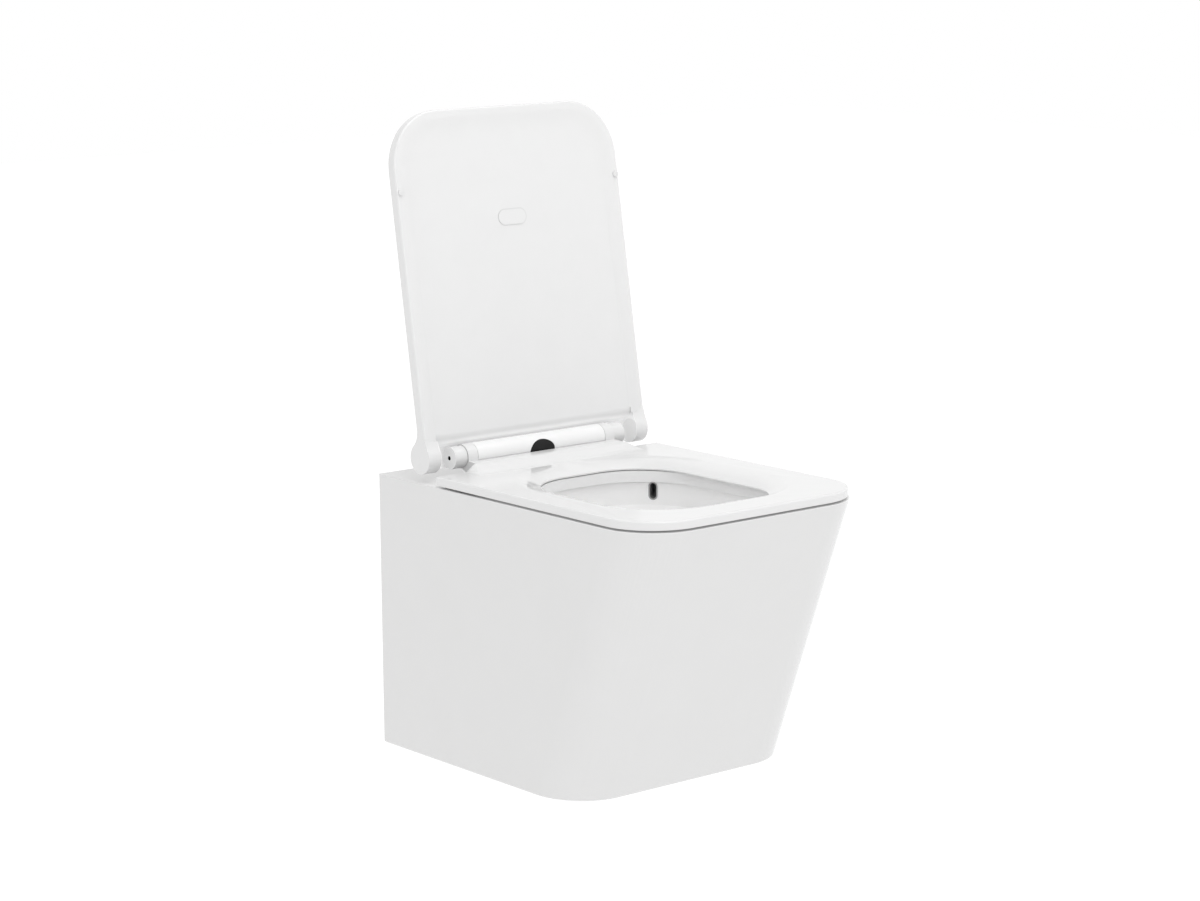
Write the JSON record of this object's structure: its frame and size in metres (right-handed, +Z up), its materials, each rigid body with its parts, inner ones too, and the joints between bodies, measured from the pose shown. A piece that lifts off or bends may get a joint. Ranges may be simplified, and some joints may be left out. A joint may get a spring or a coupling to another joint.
{
  "type": "wall hung toilet",
  "caption": "Wall hung toilet pan with a sloping front and an open underside, a raised soft-close lid, a lowered seat and a push-button quick-release hinge bar.",
  "frame": {"origin": "midway between the two wall bolts, on the face that meets the wall", "axes": "+Y into the wall, the front faces -Y, +X to the right of a person facing the wall, +Z up"},
  "size_m": [0.36, 0.52, 0.8009],
  "materials": {
    "glaze": "gloss",
    "seat_white": "gloss",
    "hinge_white": "satin",
    "button_black": "satin",
    "frame_grey": "satin",
    "damper_grey": "satin",
    "bush_white": "satin",
    "soft_white": "matte",
    "rubber_black": "matte",
    "steel": "brushed"
  },
  "bodies": {
    "pan": {"pan_deck": "glaze", "pan_back": "glaze", "pan_front": "glaze", "pan_side_left": "glaze", "pan_side_right": "glaze", "swirl_channel": "glaze", "bowl": "glaze", "trapway": "glaze", "flush_duct": "glaze", "jet_nozzle": "frame_grey", "inlet_seal": "rubber_black", "wall_bushes": "bush_white", "wall_washers": "steel", "wall_nuts": "steel", "seat_sleeves": "rubber_black", "sleeve_nuts": "steel", "seat_screws": "steel", "screw_washers": "steel"},
    "hinge_base": {"base_plate_left": "bush_white", "base_plate_right": "bush_white", "base_pads": "rubber_black", "posts": "steel"},
    "hinge_bar": {"bar_cover": "hinge_white", "bar_chassis": "frame_grey", "lid_damper": "damper_grey", "seat_damper": "damper_grey", "spring_clips": "steel", "button_spring": "steel"},
    "release_button": {"release_button": "button_black"},
    "slider_left": {"slider_left": "bush_white"},
    "slider_right": {"slider_right": "bush_white"},
    "lid": {"lid": "seat_white", "lid_bumpers": "soft_white", "lid_shaft": "steel", "knuckle_bush": "bush_white"},
    "seat": {"seat": "seat_white", "seat_bumpers": "soft_white", "seat_shaft": "steel", "lug_bush": "bush_white"}
  },
  "joints": [
    {"name": "base_slide", "type": "slide", "parent": "pan", "child": "hinge_base", "axis": [0, 1, 0], "range_m": [-0.005, 0.005]},
    {"name": "bar_lift", "type": "slide", "parent": "hinge_base", "child": "hinge_bar", "axis": [0, 0, 1], "range_m": [0, 0.028], "deforming": ["spring_clips"]},
    {"name": "button_push", "type": "slide", "parent": "hinge_bar", "child": "release_button", "axis": [0, 1, 0], "range_m": [0, 0.003], "stiffness_N_per_m": 600, "springref_m": -0.001, "deforming": ["button_spring", "spring_clips"]},
    {"name": "slider_left_slide", "type": "slide", "parent": "hinge_bar", "child": "slider_left", "axis": [-1, 0, 0], "range_m": [0, 0.003]},
    {"name": "slider_right_slide", "type": "slide", "parent": "hinge_bar", "child": "slider_right", "axis": [1, 0, 0], "range_m": [0, 0.003]},
    {"name": "lid_hinge", "type": "hinge", "parent": "hinge_bar", "child": "lid", "pos_m": [0, -0.091, 0.107], "axis": [-1, 0, 0], "range_deg": [-99.7, 0]},
    {"name": "seat_hinge", "type": "hinge", "parent": "hinge_bar", "child": "seat", "pos_m": [0, -0.091, 0.107], "axis": [-1, 0, 0], "range_deg": [0, 97]}
  ],
  "couplings": [
    {"joint": "slider_left_slide", "follows": "button_push", "ratio": 1},
    {"joint": "slider_right_slide", "follows": "button_push", "ratio": 1}
  ]
}
